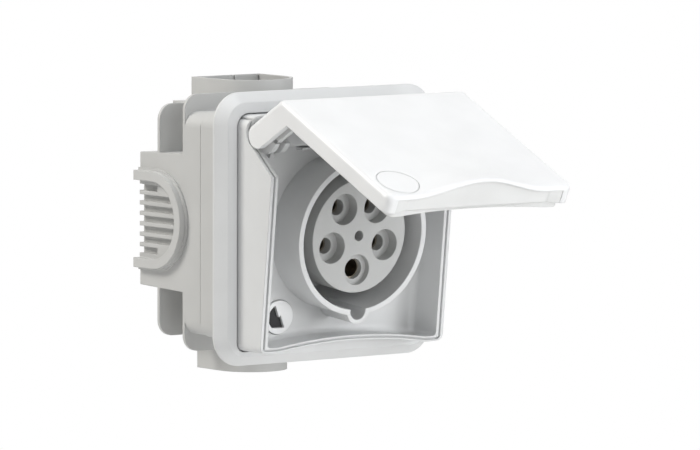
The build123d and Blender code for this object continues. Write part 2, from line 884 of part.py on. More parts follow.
def on_outer_rim(edge):
    """Whether an edge runs along a side of the lid's outer face."""
    middle = edge.center()
    from_bend = middle - lid_world(bend)
    from_axis = middle - Vector(0, -hinge[0], hinge[1])
    arm_out = lid_world(arm_point(0, 1)) - lid_world(arm_point(0, 0))
    over_panel = from_bend.dot(panel_out) > panel_top - lid_round
    over_arm = from_axis.dot(arm_out) > lid_knuckle_out - lid_round
    return abs(middle.X) > half_skirt - lid_round and (over_panel or over_arm)


# Lid cover: bent shell with closed sides, a swollen flared free edge and an open end window
with BuildPart() as lid_cover:
    with BuildSketch(lid_side):
        with BuildLine():
            Polyline(
                lid_profile(
                    0, panel_top, -knuckle_radius, lid_knuckle_out, bulge_start,
                    -2 * knuckle_radius,
                ),
                close=True,
            )
        make_face()
    extrude(amount=half_skirt, both=True)
    fillet(lid_cover.edges().filter_by(Axis.X).sort_by(Axis.Z)[-1], bend_round)
    fillet(lid_cover.edges().filter_by(on_outer_rim), lid_round)
    add(lid_panel.part)
    with BuildSketch(lid_side):
        with BuildLine():
            Polyline(
                from_hinge(arm_point(knuckle_centre[0], -2 * knuckle_radius)),
                from_hinge(arm_point(knuckle_centre[0], 2 * knuckle_radius)),
                from_hinge(arm_point(-4 * knuckle_radius, 2 * knuckle_radius)),
                from_hinge(arm_point(-4 * knuckle_radius, -2 * knuckle_radius)),
                close=True,
            )
        make_face()
        with Locations(knuckle_middle):
            Circle(knuckle_round, mode=Mode.SUBTRACT)
    extrude(amount=half_skirt, both=True, mode=Mode.SUBTRACT)
    with BuildSketch(lid_side):
        with BuildLine():
            Polyline(
                lid_profile(
                    -lid_skin, skin_under, -2 * knuckle_radius, arm_under,
                    lid_length - lid_side_wall, knuckle_centre[0],
                ),
                close=True,
            )
        make_face()
        with Locations(knuckle_middle):
            Circle(knuckle_round - lid_skin)
        with BuildLine():
            Polyline(
                from_hinge(arm_point(lid_skin, knuckle_centre[1])),
                from_hinge(arm_point(knuckle_centre[0] - knuckle_round + lid_skin, knuckle_centre[1])),
                from_hinge(arm_point(knuckle_centre[0] - knuckle_round + lid_skin, -2 * knuckle_radius)),
                from_hinge(arm_point(lid_skin, -2 * knuckle_radius)),
                close=True,
            )
        make_face()
    extrude(amount=half_skirt - lid_side_wall, both=True, mode=Mode.SUBTRACT)
    with BuildSketch(lid_side):
        with BuildLine():
            Polyline(
                from_hinge(panel_point(lid_length - 2 * lid_side_wall, -lid_skin)),
                from_hinge(panel_point(lid_length + lid_side_wall, -lid_skin)),
                from_hinge(panel_point(lid_length + lid_side_wall, skin_under)),
                from_hinge(panel_point(lid_length - 2 * lid_side_wall, skin_under)),
                close=True,
            )
        make_face()
    extrude(amount=window_width / 2, both=True, mode=Mode.SUBTRACT)
    add(swelling(web_under, skin_under, lid_length + lid_skin), mode=Mode.SUBTRACT)
    for side in (-1, 1):
        with BuildSketch(lid_side.offset(side * (half_skirt - lid_side_wall))):
            Circle(ear_radius + lug_gap)
            with BuildLine():
                Polyline(
                    from_hinge(arm_point(-2 * ear_radius, arm_under)),
                    from_hinge(arm_point(2 * ear_radius, arm_under)),
                    from_hinge(arm_point(2 * ear_radius, -2 * ear_radius)),
                    from_hinge(arm_point(-2 * ear_radius, -2 * ear_radius)),
                    close=True,
                )
            make_face(mode=Mode.INTERSECT)
        extrude(amount=side * (notch_start - half_skirt + lid_side_wall), mode=Mode.SUBTRACT)
        with BuildSketch(lid_side.offset(side * (half_skirt - lid_side_wall))):
            Circle(hinge_pin_radius + bore_gap)
        extrude(amount=side * (hinge_pin_blind + fit_gap), mode=Mode.SUBTRACT)
    with BuildSketch(panel_plane.offset(panel_top - mark_depth)):
        with Locations((mark_x, -mark_along)):
            Circle(mark_radius)
            Circle(mark_radius - mark_line, mode=Mode.SUBTRACT)
    extrude(amount=lip_bulge, mode=Mode.SUBTRACT)
lid_cover.part.label = "lid_cover"
export_step(lid_cover.part, "parts/lid_cover.step")

# Liner inside the cover: tray with a lip that closes on the skirt, and lugs for the pins
liner_end = (bend[1] + skirt_bottom - skirt_end_wall) / cos_tilt - liner_gap
liner_half = inner_half - liner_gap


def liner_outline(inset):
    """The liner's outline across the panel, with its arched end."""
    side = liner_half - inset
    end = liner_end - inset
    with BuildSketch(panel_plane) as outline:
        with BuildLine():
            Polyline((-arch_width / 2, -end), (-side, -end), (-side, reach), (side, reach),
                     (side, -end), (arch_width / 2, -end))
            ThreePointArc(
                (arch_width / 2, -end), (0, arch_rise / cos_tilt - end), (-arch_width / 2, -end)
            )
        make_face()
        ends = outline.vertices().group_by(Axis.Y)[0].sort_by(Axis.X)
        fillet([ends[0], ends[-1]], liner_corner - inset)
    return outline.sketch


axis_along = bend[0] * sin_tilt + (bend[1] + axis_drop) * cos_tilt

with BuildSketch(panel_plane.offset(web_under)) as gasket_face:
    with Locations((0, -axis_along)):
        Circle((shroud_radius + shroud_outer + gasket_width) / 2)
        Circle((shroud_radius + shroud_outer - gasket_width) / 2, mode=Mode.SUBTRACT)
gasket_ring = gasket_face.sketch

with BuildPart() as liner_pocket:
    with BuildSketch(lid_side):
        with BuildLine():
            Polyline(
                lid_profile(
                    -2 * liner_drop, web_under, -2 * knuckle_radius, arm_under - liner_web,
                    lid_length, liner_arm_end - liner_wall,
                ),
                close=True,
            )
        make_face()
    extrude(amount=liner_half - liner_wall, both=True)
    extrude(liner_outline(liner_wall), amount=reach, both=True, mode=Mode.INTERSECT)

with BuildPart() as liner_crown:
    add(swelling(web_under, skin_under, lid_length))
    rim = liner_outline(0) - liner_outline(liner_wall)
    extrude(rim, amount=reach, both=True, mode=Mode.INTERSECT)

with BuildPart() as lid_liner:
    with BuildSketch(lid_side):
        with BuildLine():
            Polyline(
                lid_profile(
                    -liner_drop, skin_under, -knuckle_radius - liner_arm_drop, arm_under,
                    lid_length, liner_arm_end,
                ),
                close=True,
            )
        make_face()
    extrude(amount=liner_half, both=True)
    extrude(liner_outline(0), amount=reach, both=True, mode=Mode.INTERSECT)
    add(liner_pocket.part, mode=Mode.SUBTRACT)
    add(liner_crown.part)
    for side in (-1, 1):
        with BuildSketch(panel_plane.offset(-fit_gap)):
            with Locations((side * half_skirt, -lid_length)):
                Rectangle(
                    2 * (half_skirt - window_width / 2 + fit_gap), 2 * (lid_side_wall + fit_gap)
                )
        extrude(amount=2 * panel_top, mode=Mode.SUBTRACT)
        with BuildSketch(lid_side.offset(side * notch_start)):
            Circle(ear_radius + lug_gap)
        extrude(amount=side * (half_skirt - notch_start), mode=Mode.SUBTRACT)
        with BuildSketch(lid_side.offset(side * (lug_outer_x - lug_width))):
            Circle(lug_radius)
            with BuildLine():
                Polyline(
                    lid_profile(
                        -liner_drop, web_under, arm_under - liner_web, arm_under,
                        2 * ear_radius, liner_arm_end,
                    ),
                    close=True,
                )
            make_face()
            with BuildLine():
                Polyline(
                    from_hinge(arm_point(-2 * ear_radius, arm_under)),
                    from_hinge(arm_point(ear_radius + 2 * lug_gap, arm_under)),
                    from_hinge(arm_point(ear_radius + 2 * lug_gap, -2 * ear_radius)),
                    from_hinge(arm_point(-2 * ear_radius, -2 * ear_radius)),
                    close=True,
                )
            make_face(mode=Mode.INTERSECT)
            Circle(hinge_pin_radius + bore_gap, mode=Mode.SUBTRACT)
        extrude(amount=side * lug_width)
    with BuildSketch(lid_side.offset(pin_start)):
        Circle(spring_coil_radius + spring_wire / 2 + spring_notch)
    extrude(amount=-spring_pin_length - spring_notch, mode=Mode.SUBTRACT)
    extrude(gasket_ring, amount=-gasket_thickness, mode=Mode.SUBTRACT)
lid_liner.part.label = "lid_liner"
export_step(lid_liner.part, "parts/lid_liner.step")

# Gasket ring let into the liner, over the shroud's rim
with BuildPart() as lid_gasket:
    extrude(gasket_ring, amount=-gasket_thickness)
lid_gasket.part.label = "lid_gasket"
export_step(lid_gasket.part, "parts/lid_gasket.step")

# Torsion spring on the left hinge pin
coil_length = spring_turns * (spring_wire + fit_gap)

coil_axis = Axis((-coil_start, -hinge[0], hinge[1]), (1, 0, 0))
coil = Helix(
    pitch=spring_wire + fit_gap, height=coil_length, radius=spring_coil_radius,
    center=coil_axis.position, direction=coil_axis.direction,
).rotate(coil_axis, -90)

with BuildPart() as lid_spring:
    with BuildLine():
        add(coil)
        Line(coil @ 0, coil @ 0 - (coil % 0) * spring_leg)
    with BuildSketch(Plane(origin=coil @ 0, z_dir=coil % 0)):
        Circle(spring_wire / 2)
    sweep(is_frenet=True)
lid_spring.part.label = "lid_spring"
export_step(lid_spring.part, "parts/lid_spring.step")

# Quick-turn fasteners: recessed head in the floor, shank and cam behind the frame
head_bottom = head_seat + fastener_gap

for name, place in zip(("left", "right"), fastener_places):
    across, up = place
    cam_back = -up * tan_tilt - cam_drop - cam_height
    with BuildPart() as fastener:
        with BuildSketch(socket_plane.offset(head_bottom)):
            with Locations(place):
                Circle(fastener_radius)
        extrude(amount=fastener_head)
        with BuildSketch(socket_plane.offset(cam_back)):
            with Locations(place):
                Circle(fastener_shank)
        extrude(amount=head_bottom - cam_back)
        with BuildSketch(socket_plane.offset(cam_back)):
            with Locations(place):
                Rectangle(2 * cam_length, cam_width)
        extrude(amount=cam_height)
        with BuildSketch(socket_plane.offset(head_bottom + fastener_head)):
            with Locations(place):
                Circle(fastener_slot_radius)
            with BuildLine():
                Polyline(
                    (across - slot_lean, up + fastener_radius),
                    (across - slot_lean, up + fastener_slot_radius),
                    (across, up), (across + slot_step, up + slot_step),
                    (across + slot_lean + slot_step, up - fastener_slot_radius + slot_step),
                    (across - fastener_radius, up - fastener_slot_radius + slot_step),
                    (across - fastener_radius, up + fastener_radius), close=True,
                )
            make_face(mode=Mode.INTERSECT)
        extrude(amount=-fastener_recess_depth, mode=Mode.SUBTRACT)
    fastener.part.label = f"quick_turn_fastener_{name}"
    export_step(fastener.part, f"parts/quick_turn_fastener_{name}.step")


# Extension ring between the frame and the wall box, with screw bosses and a plug-in end
def box_plane(depth):
    """A plane across the box at a depth behind the wall plane, facing the front."""
    return Plane(origin=(0, depth, -box_drop), x_dir=(1, 0, 0), z_dir=(0, -1, 0))


plug_width = box_width - 2 * box_wall - 2 * fit_gap
plug_height = box_height - 2 * box_wall - 2 * fit_gap
plug_corner = box_corner - box_wall - fit_gap
web_place = ring_length - ring_web

with BuildPart() as extension_ring:
    with BuildSketch(box_plane(0)):
        RectangleRounded(ring_width, ring_height, ring_corner)
    extrude(amount=-ring_length)
    chamfer(extension_ring.faces().sort_by(Axis.Y)[-1].edges(), ring_chamfer)
    with BuildSketch(box_plane(ring_length)):
        RectangleRounded(plug_width, plug_height, plug_corner)
    extrude(amount=-spigot_length)
    with BuildSketch(box_plane(0)):
        RectangleRounded(
            ring_width - 2 * ring_wall, ring_height - 2 * ring_wall, ring_corner - ring_wall
        )
    extrude(amount=-web_place, mode=Mode.SUBTRACT)
    with BuildSketch(box_plane(web_place)):
        RectangleRounded(
            plug_width - 2 * spigot_wall, plug_height - 2 * spigot_wall, plug_corner - spigot_wall
        )
    extrude(amount=-ring_web - spigot_length, mode=Mode.SUBTRACT)
    with BuildSketch(screw_plane):
        with GridLocations(2 * boss_x, frame_screw_spacing, 2, 2):
            Circle(boss_radius)
    extrude(amount=-boss_length)
    with BuildSketch(screw_plane):
        with GridLocations(2 * boss_x, frame_screw_spacing, 2, 2):
            Circle(frame_screw_radius)
    extrude(amount=-frame_screw_length, mode=Mode.SUBTRACT)
extension_ring.part.label = "extension_ring"
export_step(extension_ring.part, "parts/extension_ring.step")


def arch(radius, centre, back):
    """A half-round front at a centre, with straight sides that run back."""
    with BuildSketch() as outline:
        with Locations((centre, 0)):
            Circle(radius)
        with Locations(((centre + back) / 2, 0)):
            Rectangle(back - centre, 2 * radius)
    return outline.sketch


def entry_plane(height):
    """A level plane whose first direction runs into the wall."""
    return Plane(origin=(0, 0, height), x_dir=(0, 1, 0), z_dir=(0, 0, 1))


def grille_plane(side, out):
    """A plane on the box's side, at a distance out from its face."""
    return Plane(
        origin=(side * (box_width / 2 + out), 0, -box_drop), x_dir=(0, 1, 0), z_dir=(side, 0, 0)
    )


# Flush box: neck, two mounting fins, a crossed deep part and holes for the cable entries
box_side = Plane(origin=(0, 0, -box_drop), x_dir=(0, 1, 0), z_dir=(1, 0, 0))
fin_front = neck_end - fin_thickness
bar_shrink = (box_depth - neck_end) * tan(radians(bar_draft))
plug_radius = grille_outer - grille_lap


def bar_profile(inset, front, back):
    """The tapered side outline of the box's horizontal part, moved in."""
    high = bar_height / 2 - inset
    low = high - bar_shrink
    return [(front, -high), (front, high), (back, low), (back, -low)]


with BuildPart() as flush_box:
    with BuildSketch(box_plane(ring_length)):
        RectangleRounded(box_width, box_height, box_corner)
    extrude(amount=ring_length - neck_end)
    with BuildSketch(box_plane(fin_front)):
        RectangleRounded(box_width, tall_fin_height, fin_corner)
    extrude(amount=-fin_thickness)
    with BuildSketch(box_plane(short_fin_place)):
        RectangleRounded(box_width, short_fin_height, fin_corner)
    extrude(amount=-fin_thickness)
    with BuildSketch(box_plane(fin_front)):
        Rectangle(upright_width, upright_height)
    extrude(amount=fin_front - box_depth)
    with BuildSketch(box_side):
        with BuildLine():
            Polyline(bar_profile(0, neck_end, box_depth), close=True)
        make_face()
    extrude(amount=box_width / 2, both=True)
    with BuildSketch(box_plane(ring_length)):
        RectangleRounded(box_width - 2 * box_wall, box_height - 2 * box_wall, box_corner - box_wall)
    extrude(amount=ring_length - fin_front, mode=Mode.SUBTRACT)
    with BuildSketch(box_side):
        with BuildLine():
            Polyline(bar_profile(box_wall, fin_front, box_depth - box_wall), close=True)
        make_face()
    extrude(amount=box_width / 2 - box_wall, both=True, mode=Mode.SUBTRACT)
    with BuildSketch(box_plane(fin_front)):
        Rectangle(upright_width - 2 * box_wall, box_height - 2 * box_wall)
    extrude(amount=fin_front + box_wall - box_depth, mode=Mode.SUBTRACT)
    with BuildSketch(entry_plane(0)):
        add(arch(sleeve_radius + fit_gap, sleeve_centre, sleeve_back + fit_gap))
    extrude(amount=box_height, mode=Mode.SUBTRACT)
    with BuildSketch(entry_plane(0)):
        add(arch(spigot_radius + fit_gap, sleeve_centre, spigot_back + fit_gap))
    extrude(amount=-box_height, mode=Mode.SUBTRACT)
    for side in (-1, 1):
        with BuildSketch(grille_plane(side, box_wall)):
            add(arch(plug_radius + fit_gap, grille_centre, box_depth + box_wall))
        extrude(amount=-2 * box_wall - grille_plate - fit_gap, mode=Mode.SUBTRACT)
    with BuildSketch(box_plane(box_depth)):
        with GridLocations(fixing_spacing_x, fixing_spacing_z, 2, 2):
            Circle(fixing_hole_radius)
    extrude(amount=2 * box_wall, mode=Mode.SUBTRACT)
flush_box.part.label = "flush_box"
export_step(flush_box.part, "parts/flush_box.step")

# Louvred cable entries in both sides: arched frame round a recess with level ribs
for name, side in (("left", -1), ("right", 1)):
    with BuildPart() as entry_grille:
        with BuildSketch(grille_plane(side, 0)):
            add(arch(grille_base, grille_centre, box_depth))
        extrude(amount=grille_base_proud)
        with BuildSketch(grille_plane(side, 0)):
            add(arch(grille_outer, grille_centre, box_depth))
        extrude(amount=grille_proud)
        with BuildSketch(grille_plane(side, 0)):
            add(arch(plug_radius, grille_centre, box_depth))
        extrude(amount=-box_wall - grille_plate)
        with BuildSketch(grille_plane(side, rib_rise - grille_tuck)):
            add(arch(grille_inner, grille_centre, box_depth))
        extrude(amount=grille_proud, mode=Mode.SUBTRACT)
        with BuildSketch(grille_plane(side, -grille_tuck)):
            for number in range(slot_count):
                at_end = number in (0, slot_count - 1)
                front = short_slot_end if at_end else grille_centre - grille_inner
                middle = (number - (slot_count - 1) / 2) * slot_pitch
                with Locations(((front + box_depth) / 2, middle)):
                    Rectangle(box_depth - front, slot_height)
            add(arch(grille_inner, grille_centre, box_depth), mode=Mode.INTERSECT)
        extrude(amount=grille_proud, mode=Mode.SUBTRACT)
    entry_grille.part.label = f"entry_grille_{name}"
    export_step(entry_grille.part, f"parts/entry_grille_{name}.step")

# Conduit sleeve on top of the box, with two slits in its back
sleeve_foot = box_height / 2 - box_wall - box_drop

with BuildPart() as top_sleeve:
    with BuildSketch(entry_plane(sleeve_foot)):
        add(arch(sleeve_radius, sleeve_centre, sleeve_back))
        add(
            arch(sleeve_radius - sleeve_wall, sleeve_centre, sleeve_back - sleeve_wall),
            mode=Mode.SUBTRACT,
        )
    extrude(amount=sleeve_top - sleeve_foot)
    with BuildSketch(entry_plane(sleeve_top)):
        with Locations(
            (sleeve_back, -sleeve_slit_place), (sleeve_back, sleeve_wall - sleeve_radius)
        ):
            Rectangle(3 * sleeve_wall, sleeve_slit)
    extrude(amount=-sleeve_slit_depth, mode=Mode.SUBTRACT)
top_sleeve.part.label = "top_sleeve"
export_step(top_sleeve.part, "parts/top_sleeve.step")

# Cable spigot under the box
with BuildPart() as bottom_spigot:
    with BuildSketch(entry_plane(-spigot_bottom)):
        add(arch(spigot_radius, sleeve_centre, spigot_back))
        add(
            arch(spigot_radius - sleeve_wall, sleeve_centre, spigot_back - sleeve_wall),
            mode=Mode.SUBTRACT,
        )
    extrude(amount=spigot_bottom - box_drop - box_height / 2 + box_wall)
bottom_spigot.part.label = "bottom_spigot"
export_step(bottom_spigot.part, "parts/bottom_spigot.step")
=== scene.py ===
import json
import math
import bmesh
import bpy
from mathutils import Matrix, Vector


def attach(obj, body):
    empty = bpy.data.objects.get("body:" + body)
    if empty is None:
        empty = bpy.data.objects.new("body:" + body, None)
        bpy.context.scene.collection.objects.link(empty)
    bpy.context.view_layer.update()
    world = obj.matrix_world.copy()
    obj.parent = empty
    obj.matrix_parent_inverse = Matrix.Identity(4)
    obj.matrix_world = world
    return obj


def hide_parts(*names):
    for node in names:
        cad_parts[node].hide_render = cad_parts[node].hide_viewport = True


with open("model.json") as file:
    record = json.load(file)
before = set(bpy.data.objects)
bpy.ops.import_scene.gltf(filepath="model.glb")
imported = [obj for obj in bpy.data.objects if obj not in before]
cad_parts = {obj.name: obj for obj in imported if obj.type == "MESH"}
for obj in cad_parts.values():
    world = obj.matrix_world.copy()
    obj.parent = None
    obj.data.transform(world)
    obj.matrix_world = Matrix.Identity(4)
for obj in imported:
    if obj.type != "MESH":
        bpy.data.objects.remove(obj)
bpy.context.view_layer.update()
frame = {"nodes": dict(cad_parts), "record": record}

MM = 0.001
SAME_CORNER = 1e-7
SHARP_ANGLE = math.radians(35)


def add_node(tree, kind, **values):
    """A new shader node with some of its own settings."""
    node = tree.nodes.new(kind)
    for name, value in values.items():
        setattr(node, name, value)
    return node


def noise(tree, coords, scale, detail=3.0, rough=0.5):
    """A noise texture in the part's own metres."""
    node = add_node(tree, "ShaderNodeTexNoise")
    node.inputs["Scale"].default_value = scale
    node.inputs["Detail"].default_value = detail
    node.inputs["Roughness"].default_value = rough
    tree.links.new(coords, node.inputs["Vector"])
    return node.outputs["Fac"]


def ramp(tree, source, low, high, from_low=0.3, from_high=0.7):
    """A noise value spread over a range of numbers."""
    node = add_node(tree, "ShaderNodeMapRange")
    node.inputs["From Min"].default_value = from_low
    node.inputs["From Max"].default_value = from_high
    node.inputs["To Min"].default_value = low
    node.inputs["To Max"].default_value = high
    tree.links.new(source, node.inputs["Value"])
    return node.outputs["Result"]


def tint(colour, change):
    """A colour made a little lighter or darker."""
    return tuple(min(1.0, part * change) for part in colour) + (1.0,)


def blend_colours(tree, factor, first, second):
    """One colour turning into another by a factor."""
    node = add_node(tree, "ShaderNodeMix", data_type="RGBA")
    node.inputs[6].default_value = first
    node.inputs[7].default_value = second
    tree.links.new(factor, node.inputs[0])
    return node.outputs[2]


def empty_tree(owner, output_kind):
    """The cleared node tree of a material or the world, and its new output."""
    owner.use_nodes = True
    owner.node_tree.nodes.clear()
    return owner.node_tree, add_node(owner.node_tree, output_kind)


def show_mix(tree, output, factor, first, second):
    """Shows two shaders mixed by a factor."""
    mixer = add_node(tree, "ShaderNodeMixShader")
    for place, source in enumerate((factor, first, second)):
        tree.links.new(source, mixer.inputs[place])
    tree.links.new(mixer.outputs[0], output.inputs["Surface"])


def new_material(name):
    """An empty material with a Principled shader and the part's own coordinates."""
    material = bpy.data.materials.new(name)
    tree, output = empty_tree(material, "ShaderNodeOutputMaterial")
    shader = add_node(tree, "ShaderNodeBsdfPrincipled")
    tree.links.new(shader.outputs["BSDF"], output.inputs["Surface"])
    coords = add_node(tree, "ShaderNodeTexCoord").outputs["Object"]
    return material, tree, shader, coords


def bump(tree, shader, height, strength, distance, edge):
    """A surface relief over edges that are rounded by a small radius."""
    soft = add_node(tree, "ShaderNodeBevel", samples=6)
    soft.inputs["Radius"].default_value = edge
    node = add_node(tree, "ShaderNodeBump")
    node.inputs["Strength"].default_value = strength
    node.inputs["Distance"].default_value = distance
    tree.links.new(height, node.inputs["Height"])
    tree.links.new(soft.outputs["Normal"], node.inputs["Normal"])
    tree.links.new(node.outputs["Normal"], shader.inputs["Normal"])


# Noise scales are in bumps per metre, depths and edge radii in metres
CLOUD_SCALE = 55.0
GLOSS_SCALE = 240.0
GRAIN_SCALE = 2600.0
GRAIN_DEPTH = 0.00006
PATCH_SCALE = 160.0
MARK_DEPTH = 0.00004
METAL_EDGE = 0.00015
BLOOM_SCALE = 130.0
RUBBER_SCALE = 3000.0
RUBBER_EDGE = 0.0002


def moulded(name, colour, rough, grain, edge, sheen=0.0):
    """Moulded plastic: fine spark-eroded grain, faint flow clouds and softened edges."""
    material, tree, shader, coords = new_material(name)
    cloud = noise(tree, coords, CLOUD_SCALE, 2.0)
    shade = blend_colours(tree, ramp(tree, cloud, 0.0, 1.0), tint(colour, 0.972), tint(colour, 1.018))
    tree.links.new(shade, shader.inputs["Base Color"])
    gloss = ramp(tree, noise(tree, coords, GLOSS_SCALE, 4.0), rough - 0.05, rough + 0.05)
    tree.links.new(gloss, shader.inputs["Roughness"])
    shader.inputs["Specular IOR Level"].default_value = 0.42
    shader.inputs["Coat Weight"].default_value = sheen
    shader.inputs["Coat Roughness"].default_value = 0.22
    bump(tree, shader, noise(tree, coords, GRAIN_SCALE, 2.0), grain, GRAIN_DEPTH, edge)
    return material


def turned_metal(name, colour, rough, scale, stretch):
    """Metal with fine tool marks along one direction and small dull patches."""
    material, tree, shader, coords = new_material(name)
    mapping = add_node(tree, "ShaderNodeMapping")
    mapping.inputs["Scale"].default_value = stretch
    tree.links.new(coords, mapping.inputs["Vector"])
    marks = noise(tree, mapping.outputs["Vector"], scale, 4.0)
    patch = noise(tree, coords, PATCH_SCALE, 3.0)
    shade = blend_colours(tree, ramp(tree, patch, 0.0, 1.0), tint(colour, 0.9), tint(colour, 1.06))
    tree.links.new(shade, shader.inputs["Base Color"])
    tree.links.new(ramp(tree, marks, rough - 0.08, rough + 0.12), shader.inputs["Roughness"])
    shader.inputs["Metallic"].default_value = 1.0
    bump(tree, shader, marks, 0.25, MARK_DEPTH, METAL_EDGE)
    return material


def rubber(name, colour):
    """Matte seal rubber with a dusty bloom."""
    material, tree, shader, coords = new_material(name)
    bloom = noise(tree, coords, BLOOM_SCALE, 5.0)
    shade = blend_colours(tree, ramp(tree, bloom, 0.0, 1.0), tint(colour, 0.85), tint(colour, 1.3))
    tree.links.new(shade, shader.inputs["Base Color"])
    tree.links.new(ramp(tree, bloom, 0.72, 0.9), shader.inputs["Roughness"])
    shader.inputs["Specular IOR Level"].default_value = 0.3
    bump(tree, shader, noise(tree, coords, RUBBER_SCALE, 2.0), 0.3, GRAIN_DEPTH, RUBBER_EDGE)
    return material


LOOKS = {
    "housing_plastic": moulded("housing_moulded", (0.665, 0.672, 0.675), 0.46, 0.25, 0.0006),
    "lid_plastic": moulded("lid_moulded", (0.79, 0.795, 0.80), 0.34, 0.12, 0.0007, 0.15),
    "liner_plastic": moulded("liner_moulded", (0.70, 0.705, 0.70), 0.48, 0.25, 0.0004),
    "seal_rubber": rubber("seal_rubber_matte", (0.22, 0.225, 0.23)),
    "insert_plastic": moulded("insert_moulded", (0.46, 0.465, 0.46), 0.5, 0.3, 0.0005),
    # Contact brass: its own colour, darkened further as painted shade for the deep contact holes
    "contact_brass": turned_metal("contact_turned_and_shade", (0.36, 0.32, 0.26), 0.34, 900.0, (1, 8, 1)),
    "screw_steel": turned_metal("screw_plated", (0.62, 0.62, 0.63), 0.3, 700.0, (1, 1, 6)),
    "pin_steel": turned_metal("pin_drawn", (0.55, 0.55, 0.56), 0.32, 700.0, (8, 1, 1)),
    "fastener_plastic": moulded("fastener_moulded", (0.88, 0.885, 0.89), 0.42, 0.2, 0.0004),
    "box_plastic": moulded("box_moulded", (0.545, 0.547, 0.54), 0.5, 0.3, 0.0006),
}
# Near-black painted shade for the floors of the fasteners' recesses
RECESS_PAINTED_SHADE = moulded("recess_painted_shade", (0.02, 0.02, 0.021), 0.6, 0.3, 0.0001)

for entry in frame["record"]["subparts"]:
    node = frame["nodes"][entry["node"]]
    for place in range(len(node.material_slots)):
        node.material_slots[place].material = LOOKS[entry["material_slot"]]


def welded(node_name):
    """A mesh editor on a copy of a node's mesh, with its split corners joined."""
    shape = bmesh.new()
    shape.from_mesh(frame["nodes"][node_name].data)
    bmesh.ops.remove_doubles(shape, verts=shape.verts, dist=SAME_CORNER)
    return shape


def new_piece(name, shape, material, body):
    """An object from a mesh editor, smooth but for its sharp edges, on one body."""
    bmesh.ops.recalc_face_normals(shape, faces=shape.faces)
    mesh = bpy.data.meshes.new(name)
    shape.to_mesh(mesh)
    shape.free()
    if "custom_normal" in mesh.attributes:
        mesh.attributes.remove(mesh.attributes["custom_normal"])
    mesh.shade_smooth()
    mesh.set_sharp_from_angle(angle=SHARP_ANGLE)
    mesh.materials.append(material)
    piece = bpy.data.objects.new(name, mesh)
    bpy.context.scene.collection.objects.link(piece)
    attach(piece, body)
    return piece


def push_out(shape, faces, shift):
    """Makes a solid of faces by pushing them out by a shift."""
    raised = bmesh.ops.extrude_face_region(shape, geom=faces)
    corners = [part for part in raised["geom"] if isinstance(part, bmesh.types.BMVert)]
    bmesh.ops.translate(shape, verts=corners, vec=shift)


def lofted(rings):
    """A mesh editor with a closed solid through rings of four places each."""
    shape = bmesh.new()
    rings = [[shape.verts.new(place) for place in ring] for ring in rings]
    for first, second in zip(rings, rings[1:]):
        for corner in range(4):
            after = (corner + 1) % 4
            shape.faces.new((first[corner], first[after], second[after], second[corner]))
    shape.faces.new(rings[0])
    shape.faces.new(rings[-1])
    return shape


# Louvred entries: the ribs and the arched frame end openly at the wall box's back
BACK_GAP = 0.02 * MM
ON_CUT = 1e-8
box_corners = frame["nodes"]["flush_box"].data.vertices
grille_end = max(corner.co.y for corner in box_corners) - BACK_GAP
for side in ("left", "right"):
    shape = welded(f"entry_grille_{side}")
    cut = bmesh.ops.bisect_plane(
        shape, geom=shape.verts[:] + shape.edges[:] + shape.faces[:], dist=ON_CUT,
        plane_co=(0, grille_end, 0), plane_no=(0, 1, 0), clear_outer=True,
    )
    rim = [part for part in cut["geom_cut"] if isinstance(part, bmesh.types.BMEdge)]
    bmesh.ops.triangle_fill(shape, edges=rim, use_beauty=True, use_dissolve=True)
    louvre = new_piece(f"louvred_entry_{side}", shape, LOOKS["box_plastic"], "base")
    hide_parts(f"entry_grille_{side}")

# Quick-turn fasteners: a near-black plate of painted shade on the floor of each recess
SOCKET_TILT = math.radians(6.0)
SOCKET_FRONT = Vector((0.0, -math.cos(SOCKET_TILT), -math.sin(SOCKET_TILT)))
RECESS_DEPTH = 1.3 * MM
RECESS_PLATE = 0.1 * MM
ON_LEVEL = 0.01 * MM
for side in ("left", "right"):
    shape = welded(f"quick_turn_fastener_{side}")
    face_height = max(corner.co.dot(SOCKET_FRONT) for corner in shape.verts)
    floor_level = face_height - RECESS_DEPTH
    others = [
        part for part in shape.faces
        if any(abs(corner.co.dot(SOCKET_FRONT) - floor_level) > ON_LEVEL for corner in part.verts)
    ]
    bmesh.ops.delete(shape, geom=others, context="FACES")
    push_out(shape, shape.faces[:], SOCKET_FRONT * RECESS_PLATE)
    new_piece(f"recess_shade_plate_{side}", shape, RECESS_PAINTED_SHADE, f"fastener_{side}")

# Lid's free end, in millimetres from the cover's bend
LID_SLOPE = math.radians(25.6)
LID_BEND = Vector((0.0, -36.3764, 42.7879)) * MM
LID_DOWN = Vector((0.0, -math.cos(LID_SLOPE), -math.sin(LID_SLOPE)))
LID_OUT = Vector((0.0, -math.sin(LID_SLOPE), math.cos(LID_SLOPE)))
BULGE_START = 27.0
BULGE_END = 69.0
BULGE_WIDTH = 68.0
BULGE_HEIGHT = 6.0
LINER_TOP = 5.5
LINER_END = 67.34
LINER_WALL = 2.0
WEB_GAP = 0.06


def lid_point(along, across, out):
    """A place on the open lid, in millimetres from its bend."""
    return LID_BEND + (LID_DOWN * along + LID_OUT * out + Vector((across, 0, 0))) * MM


def lip_rise(along, across):
    """How far the lip's underside rises over the liner's top."""
    share = (along - BULGE_START) / (BULGE_END - BULGE_START)
    return BULGE_HEIGHT * share ** 2 * math.cos(math.pi * across / BULGE_WIDTH) ** 2


